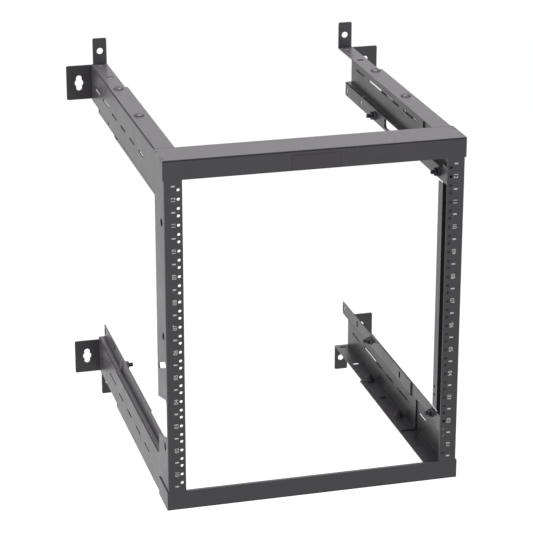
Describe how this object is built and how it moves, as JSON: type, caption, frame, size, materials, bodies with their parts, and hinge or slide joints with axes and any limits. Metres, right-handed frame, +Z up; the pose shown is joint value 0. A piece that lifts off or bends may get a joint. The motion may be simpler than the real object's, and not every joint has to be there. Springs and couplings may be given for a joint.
{
  "type": "wall mount rack",
  "caption": "Open wall mount equipment rack: drilled front posts joined by cross bars, with slotted arms that bolt to nested channel brackets with feet flat on the wall.",
  "frame": {"origin": "on the flat rear face of the upper left wall foot, between the bracket's web and the foot's keyhole, on the plane of the wall", "axes": "+X to the right seen from the front, +Y into the wall, +Z up; the rack stands out from the wall towards -Y"},
  "size_m": [0.604, 0.6326, 0.7146],
  "materials": {
    "powder_coat": "satin powder coat, charcoal",
    "nameplate": "satin, near black, bare",
    "black_zinc": "black zinc plating"
  },
  "bodies": {
    "root": {"bottom_bar": "powder_coat", "left_side_panel": "powder_coat", "lower_left_bracket": "powder_coat", "lower_left_flange_front_bolt": "black_zinc", "lower_left_flange_front_nut": "black_zinc", "lower_left_flange_rear_bolt": "black_zinc", "lower_left_flange_rear_nut": "black_zinc", "lower_left_lip_front_bolt": "black_zinc", "lower_left_lip_front_nut": "black_zinc", "lower_left_lip_rear_bolt": "black_zinc", "lower_left_lip_rear_nut": "black_zinc", "lower_right_bracket": "powder_coat", "lower_right_flange_front_bolt": "black_zinc", "lower_right_flange_front_nut": "black_zinc", "lower_right_flange_rear_bolt": "black_zinc", "lower_right_flange_rear_nut": "black_zinc", "lower_right_lip_front_bolt": "black_zinc", "lower_right_lip_front_nut": "black_zinc", "lower_right_lip_rear_bolt": "black_zinc", "lower_right_lip_rear_nut": "black_zinc", "nameplate": "nameplate", "right_side_panel": "powder_coat", "top_bar": "powder_coat", "upper_left_bracket": "powder_coat", "upper_left_flange_front_bolt": "black_zinc", "upper_left_flange_front_nut": "black_zinc", "upper_left_flange_rear_bolt": "black_zinc", "upper_left_flange_rear_nut": "black_zinc", "upper_left_lip_front_bolt": "black_zinc", "upper_left_lip_front_nut": "black_zinc", "upper_left_lip_rear_bolt": "black_zinc", "upper_left_lip_rear_nut": "black_zinc", "upper_right_bracket": "powder_coat", "upper_right_flange_front_bolt": "black_zinc", "upper_right_flange_front_nut": "black_zinc", "upper_right_flange_rear_bolt": "black_zinc", "upper_right_flange_rear_nut": "black_zinc", "upper_right_lip_front_bolt": "black_zinc", "upper_right_lip_front_nut": "black_zinc", "upper_right_lip_rear_bolt": "black_zinc", "upper_right_lip_rear_nut": "black_zinc"}
  },
  "joints": []
}
